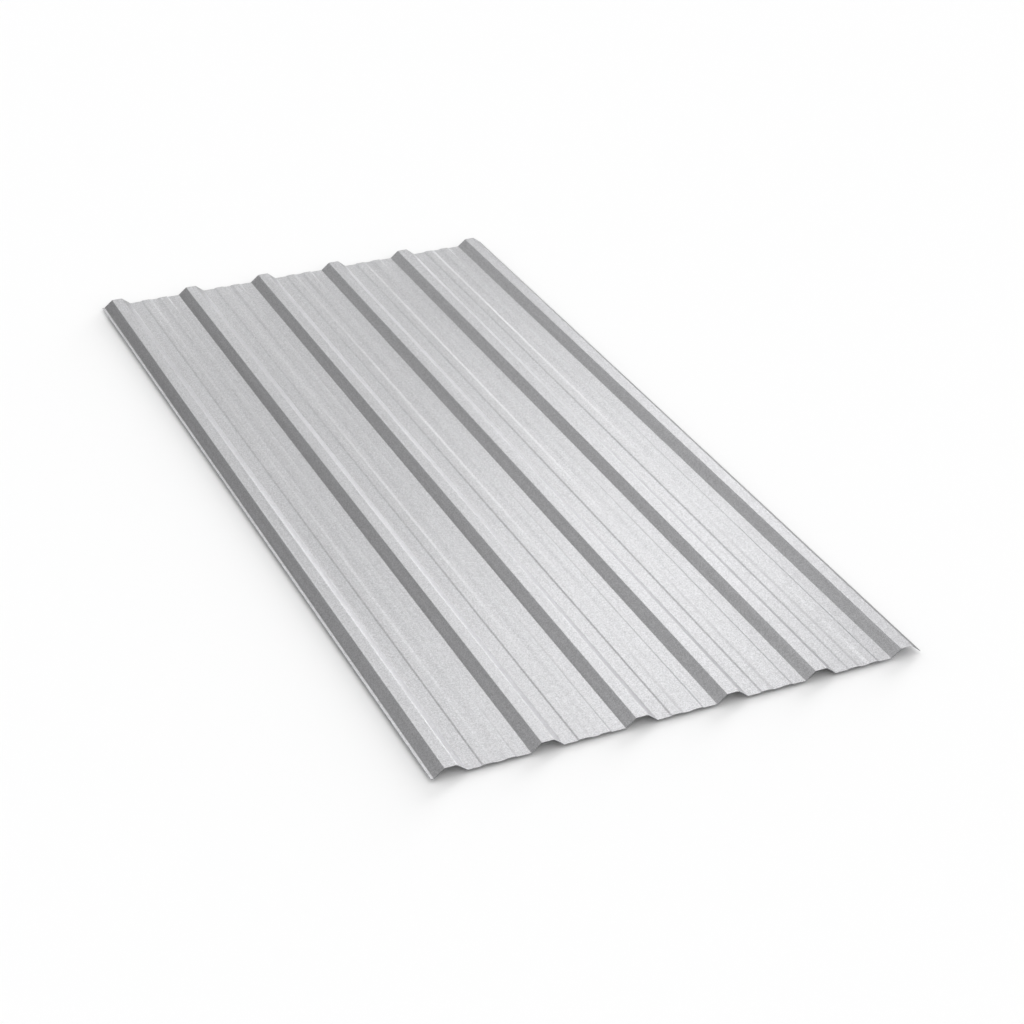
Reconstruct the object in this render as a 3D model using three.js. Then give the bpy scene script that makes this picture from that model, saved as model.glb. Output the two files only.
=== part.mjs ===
// Box-rib (trapezoidal) roofing and cladding sheet, roll-formed from one strip of zinc-coated steel.
// Millimetres, +Z up. X runs across the sheet and Y along it. The sheet lies flat on z = 0, with its
// length and its overall width centred on the origin.
import * as THREE from "three";

// The strip
const SHEET_LENGTH = 2200; // cut length
const SHEET_THICKNESS = 0.7; // steel with its zinc coat

// Ribs. Widths lie between bend lines, and heights run from pan face to crown face.
const RIB_COUNT = 6;
const RIB_PITCH = 200; // rib centre to rib centre
const RIB_HEIGHT = 18;
const RIB_CROWN_WIDTH = 25;
const RIB_FLANK_RUN = 22; // width of one sloping flank, seen from above
const RIB_BEND_RADIUS = 3; // to the middle of the sheet's thickness

// Swages: two low stiffening ribs along each pan, mirror images about the pan's centre line. The
// flanks that face each other slope more gently than the outer ones.
const SWAGE_HEIGHT = 2;
const SWAGE_GAP = 13; // flat strip between the two swages
const SWAGE_INNER_FLANK_RUN = 8;
const SWAGE_CROWN_WIDTH = 18;
const SWAGE_OUTER_FLANK_RUN = 4;
const SWAGE_BEND_RADIUS = 4;

// Underlap edge: a flat lip beyond the first rib's foot, which the next sheet covers
const UNDERLAP_LIP_WIDTH = 6;

const BEND_STEPS = 4; // straight steps that one bend is drawn with

const ZINC_GREY = 0xc6c8cb;

// Height of the sheet's middle line where it lies flat on z = 0
const PAN_LEVEL = SHEET_THICKNESS / 2;

// The four bend lines of a flat-topped rib whose left foot is at x. Each is the point on the middle
// line where the straight stretches on both sides of the bend would meet.
function ribBends(x, [leftRun, crownWidth, rightRun], height, radius) {
  const bend = (bendX, rise) => ({ point: new THREE.Vector2(bendX, PAN_LEVEL + rise), radius });
  const leftShoulder = x + leftRun;
  const rightShoulder = leftShoulder + crownWidth;
  return [bend(x, 0), bend(leftShoulder, height), bend(rightShoulder, height), bend(rightShoulder + rightRun, 0)];
}

const RIB_WIDTHS = [RIB_FLANK_RUN, RIB_CROWN_WIDTH, RIB_FLANK_RUN];
const RIB_BASE_WIDTH = RIB_CROWN_WIDTH + 2 * RIB_FLANK_RUN;

function mainRibBends(centre) {
  return ribBends(centre - RIB_BASE_WIDTH / 2, RIB_WIDTHS, RIB_HEIGHT, RIB_BEND_RADIUS);
}

const SWAGE_WIDTHS = [SWAGE_OUTER_FLANK_RUN, SWAGE_CROWN_WIDTH, SWAGE_INNER_FLANK_RUN];
const SWAGE_BASE_WIDTH = SWAGE_OUTER_FLANK_RUN + SWAGE_CROWN_WIDTH + SWAGE_INNER_FLANK_RUN;

function swagePairBends(panCentre) {
  const leftFoot = panCentre - SWAGE_GAP / 2 - SWAGE_BASE_WIDTH;
  const rightFoot = panCentre + SWAGE_GAP / 2;
  return [
    ...ribBends(leftFoot, SWAGE_WIDTHS, SWAGE_HEIGHT, SWAGE_BEND_RADIUS),
    ...ribBends(rightFoot, SWAGE_WIDTHS.toReversed(), SWAGE_HEIGHT, SWAGE_BEND_RADIUS),
  ];
}

// The middle line across the sheet, from the underlap edge to the overlap edge, with the first rib
// centred on x = 0.
function sheetMiddleLine() {
  const bends = [];
  for (let rib = 0; rib < RIB_COUNT; rib += 1) {
    bends.push(...mainRibBends(rib * RIB_PITCH));
    if (rib < RIB_COUNT - 1) bends.push(...swagePairBends((rib + 0.5) * RIB_PITCH));
  }
  const underlapEdge = bends[0].point.clone();
  underlapEdge.x -= UNDERLAP_LIP_WIDTH;
  // The last flank has no foot bend: the strip is cut off where it comes down to the pan's level.
  const overlapEdge = bends.pop().point;
  return { underlapEdge, bends, overlapEdge };
}

// One face of the sheet, walked from one side edge to the other: the middle line moved to its left
// by half the thickness. A bend has the same centre on both faces, so the wall stays even round it.
function facePoints(startEdge, bends, endEdge) {
  const line = [startEdge, ...bends.map((bend) => bend.point), endEdge];
  const directions = line.slice(1).map((point, i) => point.clone().sub(line[i]).normalize());
  const leftOf = (direction) => new THREE.Vector2(-direction.y, direction.x);
  const toFace = SHEET_THICKNESS / 2;

  const points = [startEdge.clone().addScaledVector(leftOf(directions[0]), toFace)];
  bends.forEach((bend, i) => {
    const into = directions[i];
    const turn = Math.atan2(into.cross(directions[i + 1]), into.dot(directions[i + 1]));
    const side = Math.sign(turn); // 1 where the bend's centre lies to the left
    const centre = bend.point
      .clone()
      .addScaledVector(into, -bend.radius * Math.tan(Math.abs(turn) / 2))
      .addScaledVector(leftOf(into), side * bend.radius);
    const radius = bend.radius - side * toFace;
    const startAngle = Math.atan2(-side * into.x, side * into.y);
    const endAngle = startAngle + turn;
    const arc = new THREE.EllipseCurve(centre.x, centre.y, radius, radius, startAngle, endAngle, turn < 0);
    points.push(...arc.getPoints(BEND_STEPS));
  });
  points.push(endEdge.clone().addScaledVector(leftOf(directions.at(-1)), toFace));
  return points;
}

// The closed section: out along the upper face and back along the lower one
function sheetSection({ underlapEdge, bends, overlapEdge }) {
  return new THREE.Shape([
    ...facePoints(underlapEdge, bends, overlapEdge),
    ...facePoints(overlapEdge, bends.toReversed(), underlapEdge),
  ]);
}

function ribbedSheet() {
  const section = sheetSection(sheetMiddleLine());
  const geometry = new THREE.ExtrudeGeometry(section, { depth: SHEET_LENGTH, bevelEnabled: false });
  geometry.rotateX(Math.PI / 2); // the section stands upright, and the strip runs along Y
  geometry.computeBoundingBox();
  const middle = geometry.boundingBox.getCenter(new THREE.Vector3());
  geometry.translate(-middle.x, -middle.y, -geometry.boundingBox.min.z);

  const zincCoatedSteel = new THREE.MeshStandardMaterial({
    color: ZINC_GREY,
    roughness: 0.45,
    metalness: 0.9,
  });
  const sheet = new THREE.Mesh(geometry, zincCoatedSteel);
  sheet.name = "ribbed_sheet";
  return sheet;
}

const part = new THREE.Group();
part.add(ribbedSheet());

export default part;
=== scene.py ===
"""A box-rib roofing sheet of galvanised steel, lying on a pale studio floor."""

import math

import bpy
import numpy as np
from mathutils import Matrix, Vector
from mathutils import noise as value_noise


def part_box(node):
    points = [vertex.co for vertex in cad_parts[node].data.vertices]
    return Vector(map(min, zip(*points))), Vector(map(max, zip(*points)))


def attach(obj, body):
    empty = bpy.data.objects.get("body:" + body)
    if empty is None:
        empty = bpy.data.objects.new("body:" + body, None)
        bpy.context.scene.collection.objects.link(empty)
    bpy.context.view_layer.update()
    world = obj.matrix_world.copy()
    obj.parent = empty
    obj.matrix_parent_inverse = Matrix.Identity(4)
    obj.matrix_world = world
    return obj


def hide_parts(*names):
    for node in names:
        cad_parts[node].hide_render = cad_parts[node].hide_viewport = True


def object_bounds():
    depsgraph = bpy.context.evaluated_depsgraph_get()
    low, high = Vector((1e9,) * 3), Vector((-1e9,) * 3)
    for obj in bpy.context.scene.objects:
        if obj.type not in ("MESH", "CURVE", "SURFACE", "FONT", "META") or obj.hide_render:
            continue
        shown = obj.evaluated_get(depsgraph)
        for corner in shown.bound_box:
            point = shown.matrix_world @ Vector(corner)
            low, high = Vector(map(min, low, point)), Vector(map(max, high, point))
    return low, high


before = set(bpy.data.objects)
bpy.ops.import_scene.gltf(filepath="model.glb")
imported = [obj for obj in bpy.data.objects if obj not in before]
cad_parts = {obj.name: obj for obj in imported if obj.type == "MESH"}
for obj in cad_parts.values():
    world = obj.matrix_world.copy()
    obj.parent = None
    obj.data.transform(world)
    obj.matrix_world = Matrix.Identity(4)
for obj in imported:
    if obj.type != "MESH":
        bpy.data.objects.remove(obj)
CAD_NODE = "ribbed_sheet"
CAD_BOUNDS = [list(corner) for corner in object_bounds()]

bl_info = {
    "name": "Box-rib roofing sheet",
    "version": (1, 0, 0),
    "blender": (4, 5, 0),
    "location": "3D View > Sidebar > Roofing",
    "description": "Builds a roll-formed galvanised roofing sheet and a studio to show it in",
    "category": "Object",
}

MM = 0.001


# ---------------------------------------------------------------------------------------------
# Small helpers
# ---------------------------------------------------------------------------------------------


def linear_rgb(hex_colour):
    """A colour written as sRGB hex, such as 0xC6C8CB, as the three linear values that Blender mixes."""
    channels = [(hex_colour >> shift & 0xFF) / 255 for shift in (16, 8, 0)]
    return [c / 12.92 if c <= 0.04045 else ((c + 0.055) / 1.055) ** 2.4 for c in channels]


def add_node(tree, kind, settings=None, **inputs):
    """Adds a node, sets its properties, and sets or links its inputs.

    An input is given by its name, with underscores for spaces, or as input_0 for the first socket.
    A value that is a socket is linked, and any other value is written on the socket.
    """
    node = tree.nodes.new(kind)
    for name, value in (settings or {}).items():
        setattr(node, name, value)
    for name, value in inputs.items():
        if name.startswith("input_"):
            socket = node.inputs[int(name[6:])]
        else:
            socket = node.inputs[name.replace("_", " ")]
        if isinstance(value, bpy.types.NodeSocket):
            tree.links.new(value, socket)
        else:
            socket.default_value = value
    return node


def empty_material(name):
    """A new node material with nothing in it but its output node: the material, its tree and that node."""
    material = bpy.data.materials.new(name)
    material.use_nodes = True
    tree = material.node_tree
    tree.nodes.clear()
    return material, tree, add_node(tree, "ShaderNodeOutputMaterial")


# ---------------------------------------------------------------------------------------------
# The sheet's sizes
# ---------------------------------------------------------------------------------------------


class SheetSizes(bpy.types.PropertyGroup):
    """Cross-section and finish of the roll-formed sheet"""

    thickness: bpy.props.FloatProperty(
        name="Thickness",
        description="Steel with its zinc coat",
        default=0.7 * MM,
        unit="LENGTH",
    )
    rib_count: bpy.props.IntProperty(name="Ribs", description="Main ribs across the sheet", default=6, min=2)
    rib_pitch: bpy.props.FloatProperty(
        name="Rib pitch", description="Rib centre to rib centre", default=200 * MM, unit="LENGTH"
    )
    rib_height: bpy.props.FloatProperty(
        name="Rib height", description="Pan face to crown face", default=18 * MM, unit="LENGTH"
    )
    rib_crown: bpy.props.FloatProperty(
        name="Rib crown", description="Width of a rib's flat top", default=25 * MM, unit="LENGTH"
    )
    rib_flank: bpy.props.FloatProperty(
        name="Rib flank",
        description="Width of one sloping side, seen from above",
        default=22 * MM,
        unit="LENGTH",
    )
    rib_bend: bpy.props.FloatProperty(
        name="Rib bend radius", description="To the middle of the thickness", default=3 * MM, unit="LENGTH"
    )
    swage_height: bpy.props.FloatProperty(
        name="Swage height", description="Pan face to swage face", default=2 * MM, unit="LENGTH"
    )
    swage_gap: bpy.props.FloatProperty(
        name="Swage gap", description="Flat strip between a pan's two swages", default=13 * MM, unit="LENGTH"
    )
    swage_crown: bpy.props.FloatProperty(
        name="Swage crown", description="Width of a swage's flat top", default=18 * MM, unit="LENGTH"
    )
    swage_inner_flank: bpy.props.FloatProperty(
        name="Swage inner flank",
        description="Width of the flank beside the gap",
        default=8 * MM,
        unit="LENGTH",
    )
    swage_outer_flank: bpy.props.FloatProperty(
        name="Swage outer flank",
        description="Width of the flank beside the rib",
        default=4 * MM,
        unit="LENGTH",
    )
    swage_bend: bpy.props.FloatProperty(
        name="Swage bend radius", description="To the middle of the thickness", default=4 * MM, unit="LENGTH"
    )
    lip: bpy.props.FloatProperty(
        name="Underlap lip", description="Flat strip outside the first rib", default=6 * MM, unit="LENGTH"
    )
    pan_swell: bpy.props.FloatProperty(
        name="Pan swell",
        description="Most that the thin pans rise off the floor between ribs, as rolled sheet does",
        default=0.3 * MM,
        unit="LENGTH",
    )


# The pans' swells come from a smooth noise between -1 and 1.
SWELLS_ACROSS = 9.0  # in a metre, from side to side
SWELLS_ALONG = 3.1  # in a metre, along the sheet
SWELL_SLICE = 4.7  # height at which the noise is read, chosen for where the swells fall
SWELL_MEAN = 0.5  # share of the full swell where the noise is 0
SWELL_SPREAD = 0.9  # what the noise adds to that share or takes from it


def rib_bends(x, left_run, crown, right_run, height, radius):
    """The four bend lines of a flat-topped rib whose left foot is at x, as (x, height, radius)."""
    left, right = x + left_run, x + left_run + crown
    return [
        (x, 0.0, radius),
        (left, height, radius),
        (right, height, radius),
        (right + right_run, 0.0, radius),
    ]


def middle_line(s):
    """The sheet's middle line from underlap edge to overlap edge: its first point, bends and last point."""
    base = s.rib_crown + 2 * s.rib_flank
    swage = s.swage_outer_flank + s.swage_crown + s.swage_inner_flank
    bends = []
    for rib in range(s.rib_count):
        centre = rib * s.rib_pitch
        bends += rib_bends(centre - base / 2, s.rib_flank, s.rib_crown, s.rib_flank, s.rib_height, s.rib_bend)
        if rib == s.rib_count - 1:
            break
        pan = centre + s.rib_pitch / 2
        left, right = pan - s.swage_gap / 2 - swage, pan + s.swage_gap / 2
        shape = (s.swage_height, s.swage_bend)
        bends += rib_bends(left, s.swage_outer_flank, s.swage_crown, s.swage_inner_flank, *shape)
        bends += rib_bends(right, s.swage_inner_flank, s.swage_crown, s.swage_outer_flank, *shape)
    start = (bends[0][0] - s.lip, 0.0)
    end = bends.pop()[:2]  # the last flank is cut off where it comes down to the pan's level
    return start, bends, end


def face_line(start, bends, end, offset, bend_steps, flat_step):
    """One face of the sheet in section: the middle line moved up by offset, with round bends.

    Straight stretches longer than flat_step get points along them too. Both faces get the same
    number of points, so that the two can be joined by plain quads.
    """
    corners = [Vector(p[:2]) for p in (start, *bends, end)]
    heads = [(b - a).normalized() for a, b in zip(corners, corners[1:])]
    up = [Vector((-h.y, h.x)) for h in heads]
    runs = [[corners[0] + up[0] * offset]]
    cuts = [0.0]  # length that a bend takes off the straight before it and after it
    for i, (x, z, radius) in enumerate(bends):
        turn = math.atan2(heads[i].cross(heads[i + 1]), heads[i].dot(heads[i + 1]))
        cut = radius * math.tan(abs(turn) / 2)
        side = math.copysign(1, turn)
        centre = Vector((x, z)) - heads[i] * cut + up[i] * side * radius
        spoke = -up[i] * side * (radius - side * offset)
        arc = []
        for step in range(bend_steps + 1):
            angle = turn * step / bend_steps
            cosine, sine = math.cos(angle), math.sin(angle)
            turned = (spoke.x * cosine - spoke.y * sine, spoke.x * sine + spoke.y * cosine)
            arc.append(centre + Vector(turned))
        runs.append(arc)
        cuts.append(cut)
    runs.append([corners[-1] + up[-1] * offset])
    cuts.append(0.0)

    points = []
    for i, run in enumerate(runs):
        points += run
        if i + 1 < len(runs):
            straight = (corners[i + 1] - corners[i]).length - cuts[i] - cuts[i + 1]
            pieces = max(1, round(straight / flat_step))
            a, b = run[-1], runs[i + 1][0]
            points += [a.lerp(b, k / pieces) for k in range(1, pieces)]
    return np.array([tuple(p) for p in points])


def pan_rise(s, x, y):
    """How far the pans stand off the floor at x, y: slow, shallow swells that die out at the rib feet."""
    base = s.rib_crown + 2 * s.rib_flank
    pan_width = s.rib_pitch - base
    across = (x % s.rib_pitch - base / 2) / pan_width  # 0 at one rib foot and 1 at the next
    window = np.where((across > 0) & (across < 1), np.sin(np.pi * np.clip(across, 0, 1)) ** 2, 0.0)
    swell = np.array([
        [value_noise.noise((px * SWELLS_ACROSS, py * SWELLS_ALONG, SWELL_SLICE)) for px in x]
        for py in y
    ])
    return s.pan_swell * window[None, :] * np.clip(SWELL_MEAN + SWELL_SPREAD * swell, 0, 1)


class ROOFING_OT_ribbed_sheet(bpy.types.Operator):
    """Builds the ribbed sheet in place of its CAD node, with round bends and gently swelling pans"""

    bl_idname = "roofing.ribbed_sheet"
    bl_label = "Ribbed sheet"
    bl_options = {"REGISTER", "UNDO"}

    BEND_STEPS = 5
    FLAT_STEP = 7 * MM  # about this far between the points across a flat stretch
    LENGTH_STEPS = 96
    CREASE_ANGLE = math.radians(40)  # only the edges round the cut sides turn more sharply than this

    def grid(self, s):
        """The points of both faces, as an array [step along the sheet, face, point across it, axis]."""
        low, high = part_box(CAD_NODE)
        section = middle_line(s)
        half = s.thickness / 2
        upper, lower = (
            face_line(*section, offset, self.BEND_STEPS, self.FLAT_STEP) for offset in (half, -half)
        )
        y = np.linspace(low.y, high.y, self.LENGTH_STEPS + 1)

        # The section's own x runs from the first rib's centre. Both faces of a pan rise together.
        middle_x = (upper[:, 0] + lower[:, 0]) / 2
        rise = pan_rise(s, middle_x, y)
        shift_x = low.x - min(upper[:, 0].min(), lower[:, 0].min())
        points = np.zeros((len(y), 2, len(upper), 3))
        for face, line in enumerate((upper, lower)):
            points[:, face, :, 0] = line[:, 0] + shift_x
            points[:, face, :, 1] = y[:, None]
            points[:, face, :, 2] = line[:, 1] + half + rise
        return points

    def quads(self, steps, count):
        """The quads of the coated faces and of the cut sides, for such a grid of points."""
        index = np.arange(steps * 2 * count).reshape(steps, 2, count)
        top, bottom = index[:, 0], index[:, 1]
        coated = [
            (top[:-1, :-1], top[:-1, 1:], top[1:, 1:], top[1:, :-1]),
            (bottom[:-1, :-1], bottom[1:, :-1], bottom[1:, 1:], bottom[:-1, 1:]),
        ]
        cut = [
            (bottom[0, :-1], bottom[0, 1:], top[0, 1:], top[0, :-1]),
            (bottom[-1, :-1], top[-1, :-1], top[-1, 1:], bottom[-1, 1:]),
            (bottom[:-1, 0], top[:-1, 0], top[1:, 0], bottom[1:, 0]),
            (bottom[:-1, -1], bottom[1:, -1], top[1:, -1], top[:-1, -1]),
        ]
        return [
            np.concatenate([np.stack(corners, -1).reshape(-1, 4) for corners in strips])
            for strips in (coated, cut)
        ]

    def execute(self, context):
        points = self.grid(context.scene.roofing_sheet)
        coated, cut = self.quads(len(points), points.shape[2])
        mesh = bpy.data.meshes.new("roofing_sheet")
        mesh.from_pydata(points.reshape(-1, 3).tolist(), [], [*coated.tolist(), *cut.tolist()])
        mesh.materials.append(galvanised_steel(context.scene.roofing_finish))
        mesh.materials.append(sheared_edge(context.scene.roofing_finish))
        slots = np.zeros(len(mesh.polygons), np.int32)
        slots[len(coated):] = 1
        mesh.polygons.foreach_set("material_index", slots)
        mesh.shade_smooth()
        mesh.set_sharp_from_angle(angle=self.CREASE_ANGLE)
        mesh.validate()

        sheet = bpy.data.objects.new("roofing_sheet", mesh)
        context.scene.collection.objects.link(sheet)
        # The wide flats set the normals at a bend's ends, so that the flats stay flat in the light.
        flats_first = sheet.modifiers.new("flats first", "WEIGHTED_NORMAL")
        flats_first.keep_sharp = True
        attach(sheet, "root")
        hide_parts(CAD_NODE)
        return {"FINISHED"}


# ---------------------------------------------------------------------------------------------
# Finishes
# ---------------------------------------------------------------------------------------------


def colour_property(name, description, hex_colour):
    """A colour that a user can change, given as sRGB hex."""
    return bpy.props.FloatVectorProperty(
        name=name,
        description=description,
        subtype="COLOR",
        size=3,
        min=0,
        max=1,
        default=linear_rgb(hex_colour),
    )


class SheetFinish(bpy.types.PropertyGroup):
    """Colours and pattern sizes of the zinc coat and the cut edges"""

    zinc: colour_property("Zinc", "Colour of the zinc coat", 0xCECED0)
    edge: colour_property("Cut edge", "Colour of the sheared steel edge", 0x5C5E61)
    crystal: bpy.props.FloatProperty(
        name="Crystal size", description="Width of one zinc crystal", default=1.7 * MM, unit="LENGTH"
    )
    streak: bpy.props.FloatProperty(
        name="Streak width",
        description="Width of the marks that the rolls leave",
        default=6 * MM,
        unit="LENGTH",
    )


STREAK_LENGTH = 900 * MM  # of the roll marks, along the sheet
STREAK_HEIGHT = 40 * MM  # over twice a rib's height, so that a mark hardly changes up a flank
CLOUD_SIZE = 120 * MM  # of the coat's slow changes of tone
CRYSTAL_LEAN = 0.04  # twice the steepest slope of a crystal along one axis
SHEAR_MARK_WIDTH = 2 * MM
SHEAR_MARK_LENGTH = 30 * MM  # more than the sheet's height, so that each mark runs through the edge


def galvanised_steel(finish):
    """Hot-dip galvanised steel with a minimised spangle, rolled to shape.

    The zinc gives a satin grey metal with a fine, sandy crystal grain. Each crystal leans its own
    way, so it is a touch lighter or darker than the next. The forming rolls leave faint, soft
    streaks along the sheet, and the coat clouds slowly from place to place.
    """
    material, tree, output = empty_material("galvanised_steel_minimised_spangle")
    place = add_node(tree, "ShaderNodeTexCoord").outputs["Object"]

    # Crystals: real ones are under 1 mm wide here and would not show, so they are drawn larger.
    crystals = add_node(tree, "ShaderNodeTexVoronoi", Vector=place, Scale=1 / finish.crystal)
    crystal = add_node(tree, "ShaderNodeSeparateColor", Color=crystals.outputs["Color"])
    crystal_tone = add_node(tree, "ShaderNodeMapRange", Value=crystal.outputs["Red"], To_Min=0.8, To_Max=1.2)
    # A crystal's lean is a plane through its middle that slopes its own way.
    from_middle = add_node(
        tree,
        "ShaderNodeVectorMath",
        {"operation": "SUBTRACT"},
        input_0=place,
        input_1=crystals.outputs["Position"],
    )
    lean_way = add_node(
        tree,
        "ShaderNodeVectorMath",
        {"operation": "SUBTRACT"},
        input_0=crystals.outputs["Color"],
        input_1=(0.5, 0.5, 0.5),
    )
    lean = add_node(
        tree,
        "ShaderNodeVectorMath",
        {"operation": "DOT_PRODUCT"},
        input_0=from_middle.outputs["Vector"],
        input_1=lean_way.outputs["Vector"],
    )

    # Roll marks, far longer than they are wide
    streak_place = add_node(
        tree,
        "ShaderNodeMapping",
        Vector=place,
        Scale=(1 / finish.streak, 1 / STREAK_LENGTH, 1 / STREAK_HEIGHT),
    )
    streaks = add_node(
        tree,
        "ShaderNodeTexNoise",
        Vector=streak_place.outputs["Vector"],
        Scale=1.0,
        Detail=3.0,
        Roughness=0.6,
    )
    streak_tone = add_node(
        tree,
        "ShaderNodeMapRange",
        Value=streaks.outputs["Fac"],
        From_Min=0.2,
        From_Max=0.8,
        To_Min=0.92,
        To_Max=1.08,
    )

    # Clouds, which hardly show, so that no two stretches of the coat are quite alike
    clouds = add_node(tree, "ShaderNodeTexNoise", Vector=place, Scale=1 / CLOUD_SIZE, Detail=2.0)
    cloud_tone = add_node(
        tree,
        "ShaderNodeMapRange",
        Value=clouds.outputs["Fac"],
        From_Min=0.2,
        From_Max=0.8,
        To_Min=0.985,
        To_Max=1.015,
    )

    grain_and_streaks = add_node(
        tree,
        "ShaderNodeMath",
        {"operation": "MULTIPLY"},
        input_0=crystal_tone.outputs["Result"],
        input_1=streak_tone.outputs["Result"],
    )
    tone = add_node(
        tree,
        "ShaderNodeMath",
        {"operation": "MULTIPLY"},
        input_0=grain_and_streaks.outputs["Value"],
        input_1=cloud_tone.outputs["Result"],
    )
    colour = add_node(
        tree,
        "ShaderNodeVectorMath",
        {"operation": "SCALE"},
        input_0=tuple(finish.zinc),
        Scale=tone.outputs["Value"],
    )
    # The rolls polish the coat a little where they rub, so its shine changes with the streaks.
    roughness = add_node(
        tree,
        "ShaderNodeMapRange",
        Value=streaks.outputs["Fac"],
        From_Min=0.2,
        From_Max=0.8,
        To_Min=0.27,
        To_Max=0.33,
    )
    grain = add_node(
        tree,
        "ShaderNodeBump",
        Strength=1.0,
        Distance=CRYSTAL_LEAN,
        Height=lean.outputs["Value"],
    )
    metal = add_node(
        tree,
        "ShaderNodeBsdfPrincipled",
        Base_Color=colour.outputs["Vector"],
        Metallic=1.0,
        Roughness=roughness.outputs["Result"],
        Normal=grain.outputs["Normal"],
    )
    tree.links.new(metal.outputs["BSDF"], output.inputs["Surface"])
    return material


def sheared_edge(finish):
    """Steel cut by a guillotine: a dull, darker grey than the coat, dragged into short upright marks."""
    material, tree, output = empty_material("sheared_steel_edge")
    place = add_node(tree, "ShaderNodeTexCoord").outputs["Object"]
    marks_place = add_node(
        tree,
        "ShaderNodeMapping",
        Vector=place,
        Scale=(1 / SHEAR_MARK_WIDTH, 1 / SHEAR_MARK_WIDTH, 1 / SHEAR_MARK_LENGTH),
    )
    marks = add_node(
        tree,
        "ShaderNodeTexNoise",
        Vector=marks_place.outputs["Vector"],
        Scale=1.0,
        Detail=2.0,
    )
    tone = add_node(
        tree,
        "ShaderNodeMapRange",
        Value=marks.outputs["Fac"],
        From_Min=0.3,
        From_Max=0.7,
        To_Min=0.8,
        To_Max=1.2,
    )
    colour = add_node(
        tree,
        "ShaderNodeVectorMath",
        {"operation": "SCALE"},
        input_0=tuple(finish.edge),
        Scale=tone.outputs["Result"],
    )
    metal = add_node(
        tree,
        "ShaderNodeBsdfPrincipled",
        Base_Color=colour.outputs["Vector"],
        Metallic=1.0,
        Roughness=0.6,
    )
    tree.links.new(metal.outputs["BSDF"], output.inputs["Surface"])
    return material


def matt_white_paint(colour):
    """Matt emulsion on the studio floor: an even white that takes soft shade and has no shine."""
    material, tree, output = empty_material("matt_white_paint")
    paint = add_node(tree, "ShaderNodeBsdfDiffuse", Color=(*colour, 1))
    tree.links.new(paint.outputs["BSDF"], output.inputs["Surface"])
    return material


# ---------------------------------------------------------------------------------------------
# The studio
# ---------------------------------------------------------------------------------------------


class StudioSettings(bpy.types.PropertyGroup):
    """Floor, light and camera"""

    floor_drop: bpy.props.FloatProperty(
        name="Floor drop",
        description="Gap under the sheet, which touches a real floor only here and there",
        default=7 * MM,
        unit="LENGTH",
    )
    floor: colour_property("Floor", "Colour of the studio floor", 0xF4F4F4)
    fill: bpy.props.FloatProperty(
        name="Fill",
        description="Light on the floor from all round, where 1 shows white paint as white",
        default=0.95,
    )
    fill_lean: bpy.props.FloatProperty(
        name="Fill lean",
        description="Share by which one side of the sky is stronger than its top",
        default=0.4,
        min=0,
        max=1,
        subtype="FACTOR",
    )
    fill_azimuth: bpy.props.FloatProperty(
        name="Fill azimuth",
        description="Azimuth of the stronger side, clockwise from +Y",
        default=math.radians(127),
        subtype="ANGLE",
    )
    key: bpy.props.FloatProperty(
        name="Key",
        description="Light on the floor from the key light, on the same scale as the fill",
        default=0.15,
    )
    key_azimuth: bpy.props.FloatProperty(
        name="Key azimuth",
        description="Azimuth of the key light, clockwise from +Y",
        default=math.radians(51),
        subtype="ANGLE",
    )
    key_elevation: bpy.props.FloatProperty(
        name="Key elevation",
        description="Angle of the key light above the floor",
        default=math.radians(12),
        subtype="ANGLE",
    )
    key_width: bpy.props.FloatProperty(
        name="Key width",
        description="Angle that the key light spans",
        default=math.radians(26),
        subtype="ANGLE",
    )
    camera_azimuth: bpy.props.FloatProperty(
        name="Camera azimuth",
        description="Turn of the camera about the sheet, 0 looking along +Y",
        default=math.radians(-24.96),
        subtype="ANGLE",
    )
    camera_elevation: bpy.props.FloatProperty(
        name="Camera elevation",
        description="Angle of the camera above the floor",
        default=math.radians(30.52),
        subtype="ANGLE",
    )
    camera_roll: bpy.props.FloatProperty(
        name="Camera roll",
        description="Tilt of the camera about its own axis",
        default=math.radians(0.84),
        subtype="ANGLE",
    )
    camera_distance: bpy.props.FloatProperty(
        name="Camera distance",
        description="From the camera to the point it looks at",
        default=5.156,
        unit="LENGTH",
    )
    camera_target: bpy.props.FloatVectorProperty(
        name="Camera target",
        description="Point that the camera looks at",
        default=(0.0076, -0.2686, 0.0),
        subtype="XYZ",
    )
    camera_lens: bpy.props.FloatProperty(
        name="Lens", description="Focal length on a 36 mm wide sensor, in millimetres", default=81.57
    )


# What the metal reflects besides white. Each line gives a name, then in degrees the azimuth clockwise
# from +Y, the elevation, the width in azimuth and the height in elevation, and then the radiance. A
# soft box adds its light to what is behind it.
SOFTBOXES = (
    ("softbox_middle", 29, 33, 10, 9, 2.4),
    ("softbox_low", 47, 3, 18, 6, 4.7),
    ("softbox_strip", 38, 15, 13, 6, 1.7),
    ("softbox_high", 12, 42, 13, 10, 1.5),
    ("softbox_left", 11, 12, 23, 14, 1.2),
)
FLAGS = (
    ("flag_left", -44, 27, 64, 54, 0.55),
    ("flag_right", 57, 25, 35, 42, 0.65),
    ("flag_low", -30, 13, 30, 26, 0.2),
    ("flag_middle", 15, 25, 34, 24, 0.42),
    ("flag_high", 28, 41, 24, 12, 0.45),
)
SOFTBOX_DISTANCE = 80.0
FLAG_DISTANCE = 100.0  # of the first flag, so that they all hang behind the soft boxes
FLAG_STEP = 3.0  # each flag hangs this much nearer than the last
FLAG_PATCH = 8  # about this many degrees across each patch of a flag, so that it follows its dome

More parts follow.
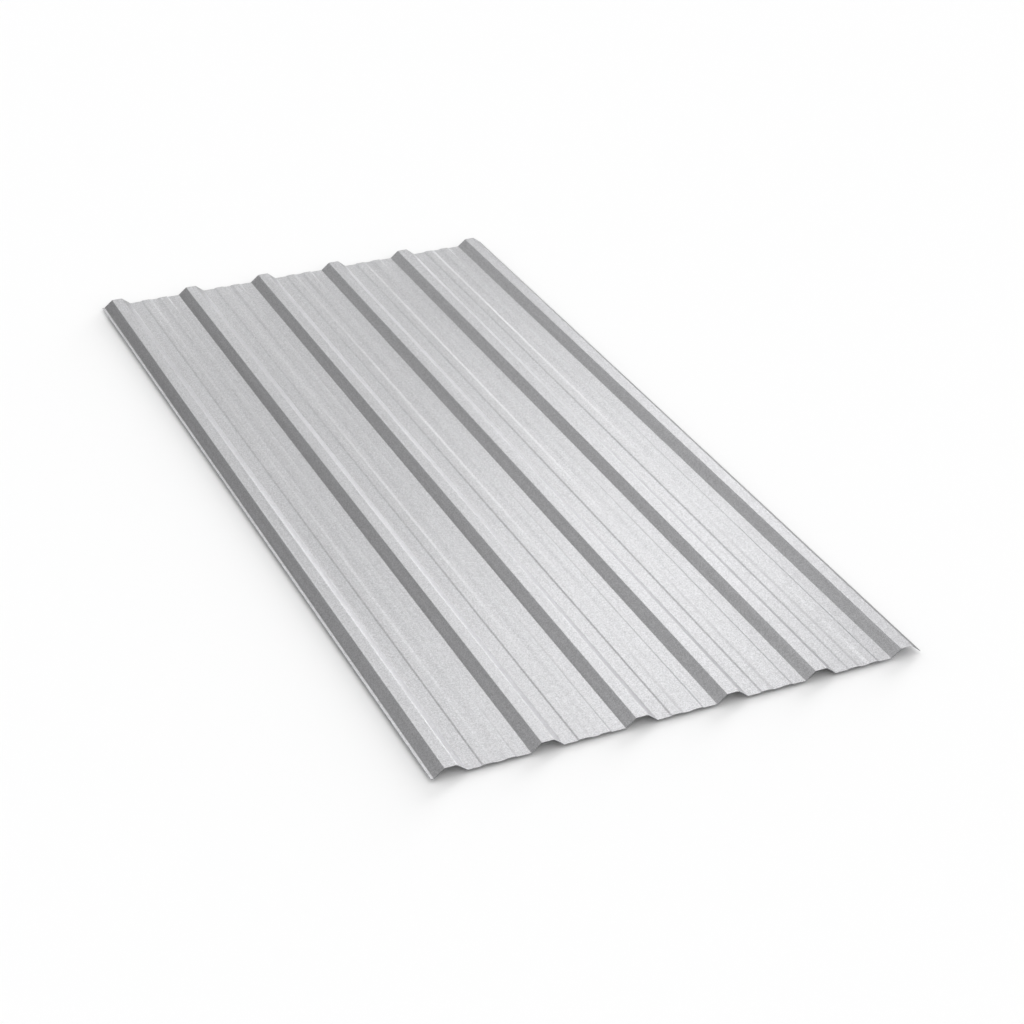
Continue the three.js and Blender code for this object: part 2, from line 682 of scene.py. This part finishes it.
# The cloths on the floor
RUNNER_REACH = 3.0  # of the grey ones past the sheet's edges
RUNNER_GREY = 0.3  # radiance of the grey ones
# The black one under the sheet is painted shade: it stands in for the shaded floor that the underside
# reflects, and so darkens the rib mouths.
PAINTED_SHADE_BLACK = 0.0  # and of the black one
RUNNER_LIFT = 0.2 * MM  # above the floor
LAST_RIB = 90 * MM  # the black one stops short of the last rib, which lets light in on its open side

FLOOR_REACH = 60.0  # from the middle of the floor to its edges


def direction(azimuth, elevation):
    """Unit vector towards a point of the sky: azimuth clockwise from +Y, elevation above the floor."""
    return Vector((
        math.sin(azimuth) * math.cos(elevation),
        math.cos(azimuth) * math.cos(elevation),
        math.sin(elevation),
    ))


def sun(name, azimuth, elevation, width, light):
    """A distant lamp that puts this much light on a level floor, where 1 shows white paint as white."""
    lamp = bpy.data.objects.new(name, bpy.data.lights.new(name, "SUN"))
    bpy.context.scene.collection.objects.link(lamp)
    lamp.rotation_euler = direction(azimuth, elevation).to_track_quat("Z", "Y").to_euler()
    lamp.data.angle = width
    lamp.data.energy = light * math.pi / math.sin(elevation)
    return lamp


def softbox(name, azimuth, elevation, width, height, radiance):
    """A soft box far behind the sheet, which only the metal sees."""
    toward = direction(azimuth, elevation)
    lamp = bpy.data.objects.new(name, bpy.data.lights.new(name, "AREA"))
    bpy.context.scene.collection.objects.link(lamp)
    lamp.location = toward * SOFTBOX_DISTANCE
    lamp.rotation_euler = toward.to_track_quat("Z", "Y").to_euler()
    lamp.data.shape = "RECTANGLE"
    lamp.data.size = 2 * SOFTBOX_DISTANCE * math.tan(width / 2) * math.cos(elevation)
    lamp.data.size_y = 2 * SOFTBOX_DISTANCE * math.tan(height / 2)
    lamp.data.energy = radiance * math.pi * lamp.data.size * lamp.data.size_y
    lamp.visible_camera = False
    lamp.visible_diffuse = False


def cloth(name, radiance, points, faces):
    """A piece of grey or black cloth, evenly lit, which only the metal sees."""
    material, tree, output = empty_material(name + "_cloth")
    glow = add_node(tree, "ShaderNodeEmission", Color=(1, 1, 1, 1), Strength=radiance)
    tree.links.new(glow.outputs["Emission"], output.inputs["Surface"])
    material.cycles.emission_sampling = "NONE"
    mesh = bpy.data.meshes.new(name)
    mesh.from_pydata(points, [], faces)
    mesh.materials.append(material)
    piece = bpy.data.objects.new(name, mesh)
    bpy.context.scene.collection.objects.link(piece)
    piece.visible_camera = False
    piece.visible_diffuse = False
    piece.visible_shadow = False


def flag(name, azimuth, elevation, width, height, radiance, distance):
    """A cloth hung on a dome round the sheet."""
    columns, rows = (max(1, round(math.degrees(angle) / FLAG_PATCH)) for angle in (width, height))
    points = [
        direction(azimuth + width * (i / columns - 0.5), elevation + height * (j / rows - 0.5)) * distance
        for j in range(rows + 1)
        for i in range(columns + 1)
    ]
    row = columns + 1
    faces = [(k, k + 1, k + 1 + row, k + row) for j in range(rows) for k in range(j * row, j * row + columns)]
    cloth(name, radiance, points, faces)


def runner(name, x, y, z, radiance):
    """A cloth laid on the floor, which gives the flank above it a thin outline, or, laid under the sheet, is
    painted shade that darkens the sheet's underside and the rib mouths.
    """
    points = [(x[0], y[0], z), (x[1], y[0], z), (x[1], y[1], z), (x[0], y[1], z)]
    cloth(name, radiance, points, [(0, 1, 2, 3)])


class ROOFING_OT_studio(bpy.types.Operator):
    """Sets up the floor, the soft light and the camera"""

    bl_idname = "roofing.studio"
    bl_label = "Studio"
    bl_options = {"REGISTER", "UNDO"}

    def execute(self, context):
        s = context.scene.roofing_studio
        self.floor(s)
        self.world(context.scene, s)
        self.lamps(s)
        self.camera(context.scene, s)
        context.scene.view_settings.view_transform = "Standard"
        return {"FINISHED"}

    def floor(self, s):
        """A level square of paint, a little under the sheet."""
        mesh = bpy.data.meshes.new("floor")
        corners = [
            (x * FLOOR_REACH, y * FLOOR_REACH, -s.floor_drop) for x, y in ((-1, -1), (1, -1), (1, 1), (-1, 1))
        ]
        mesh.from_pydata(corners, [], [(0, 1, 2, 3)])
        mesh.materials.append(matt_white_paint(s.floor))
        floor = bpy.data.objects.new("floor", mesh)
        bpy.context.scene.collection.objects.link(floor)

    def world(self, scene, s):
        """Plain white for the camera and for what the metal reflects, and the fill for the floor."""
        world = bpy.data.worlds.new("white studio")
        world.use_nodes = True
        tree = world.node_tree
        tree.nodes.clear()
        output = add_node(tree, "ShaderNodeOutputWorld")
        path = add_node(tree, "ShaderNodeLightPath")
        camera_or_glossy = add_node(
            tree,
            "ShaderNodeMath",
            {"operation": "MAXIMUM"},
            input_0=path.outputs["Is Camera Ray"],
            input_1=path.outputs["Is Glossy Ray"],
        )
        seen = add_node(
            tree,
            "ShaderNodeMath",
            {"operation": "MAXIMUM"},
            input_0=camera_or_glossy.outputs["Value"],
            input_1=path.outputs["Is Transmission Ray"],
        )
        # The fill is an even sky, a little stronger on one side.
        sky = add_node(tree, "ShaderNodeTexCoord")
        side = add_node(
            tree,
            "ShaderNodeVectorMath",
            {"operation": "DOT_PRODUCT"},
            input_0=sky.outputs["Generated"],
            input_1=direction(s.fill_azimuth, 0) * s.fill_lean,
        )
        strength = add_node(
            tree,
            "ShaderNodeMath",
            {"operation": "MULTIPLY_ADD"},
            input_0=side.outputs["Value"],
            input_1=s.fill,
            input_2=s.fill,
        )
        fill = add_node(tree, "ShaderNodeBackground", Color=(1, 1, 1, 1), Strength=strength.outputs["Value"])
        white = add_node(tree, "ShaderNodeBackground", Color=(1, 1, 1, 1), Strength=1.0)
        mix = add_node(
            tree,
            "ShaderNodeMixShader",
            Fac=seen.outputs["Value"],
            input_1=fill.outputs["Background"],
            input_2=white.outputs["Background"],
        )
        tree.links.new(mix.outputs["Shader"], output.inputs["Surface"])
        scene.world = world

    def lamps(self, s):
        """The key, which lights the floor alone, and what stands round the sheet for the metal to reflect."""
        key = sun("key", s.key_azimuth, s.key_elevation, s.key_width, s.key)
        key.visible_glossy = False
        for name, *angles, radiance in SOFTBOXES:
            softbox(name, *(math.radians(angle) for angle in angles), radiance)
        for i, (name, *angles, radiance) in enumerate(FLAGS):
            flag(name, *(math.radians(angle) for angle in angles), radiance, FLAG_DISTANCE - FLAG_STEP * i)
        self.runners(RUNNER_LIFT - s.floor_drop)

    def runners(self, z):
        """A grey cloth beside the sheet, one beyond it, and under it a black one that is painted shade, which
        darkens the sheet's underside and the rib mouths.
        """
        left, near, _ = CAD_BOUNDS[0]
        right, far, _ = CAD_BOUNDS[1]
        reach = RUNNER_REACH
        runner("runner_right", (right, right + reach), (near - reach, far + reach), z, RUNNER_GREY)
        runner("runner_far", (left - reach, right), (far, far + reach), z, RUNNER_GREY)
        # Painted shade: a black sheet under the sheet, which the metal's underside reflects in place of the
        # shaded floor.
        runner("painted_shade_under", (left, right - LAST_RIB), (near, far), z, PAINTED_SHADE_BLACK)

    def camera(self, scene, s):
        """The camera, turned and raised about the point that it looks at."""
        azimuth = s.camera_azimuth
        back = direction(math.pi - azimuth, s.camera_elevation)  # from that point to the camera
        right = Vector((math.cos(azimuth), math.sin(azimuth), 0))
        up = back.cross(right)
        axes = Matrix((right, up, back)).transposed() @ Matrix.Rotation(s.camera_roll, 3, "Z")
        data = bpy.data.cameras.new("camera")
        data.sensor_width = 36.0
        data.lens = s.camera_lens
        data.clip_start = 0.1
        data.clip_end = 200.0
        camera = bpy.data.objects.new("camera", data)
        place = Vector(s.camera_target) + back * s.camera_distance
        camera.matrix_world = Matrix.Translation(place) @ axes.to_4x4()
        scene.collection.objects.link(camera)
        scene.camera = camera


# ---------------------------------------------------------------------------------------------
# Panel and registration
# ---------------------------------------------------------------------------------------------


class ROOFING_PT_sidebar(bpy.types.Panel):
    """Sizes, finishes and buttons"""

    bl_idname = "ROOFING_PT_sidebar"
    bl_label = "Roofing sheet"
    bl_space_type = "VIEW_3D"
    bl_region_type = "UI"
    bl_category = "Roofing"

    def draw(self, context):
        layout = self.layout
        for title, group, operator in (
            ("Sheet", context.scene.roofing_sheet, ROOFING_OT_ribbed_sheet),
            ("Finish", context.scene.roofing_finish, None),
            ("Studio", context.scene.roofing_studio, ROOFING_OT_studio),
        ):
            box = layout.box()
            box.label(text=title)
            for name in group.__annotations__:
                box.prop(group, name)
            if operator:
                box.operator(operator.bl_idname)


CLASSES = (
    SheetSizes,
    SheetFinish,
    StudioSettings,
    ROOFING_OT_ribbed_sheet,
    ROOFING_OT_studio,
    ROOFING_PT_sidebar,
)
SETTINGS = {
    "roofing_sheet": SheetSizes,
    "roofing_finish": SheetFinish,
    "roofing_studio": StudioSettings,
}


def register():
    for cls in CLASSES:
        bpy.utils.register_class(cls)
    for name, group in SETTINGS.items():
        setattr(bpy.types.Scene, name, bpy.props.PointerProperty(type=group))


def unregister():
    for name in SETTINGS:
        delattr(bpy.types.Scene, name)
    for cls in reversed(CLASSES):
        bpy.utils.unregister_class(cls)


def main():
    register()
    bpy.ops.roofing.ribbed_sheet()
    bpy.ops.roofing.studio()


if __name__ == "__main__":
    main()
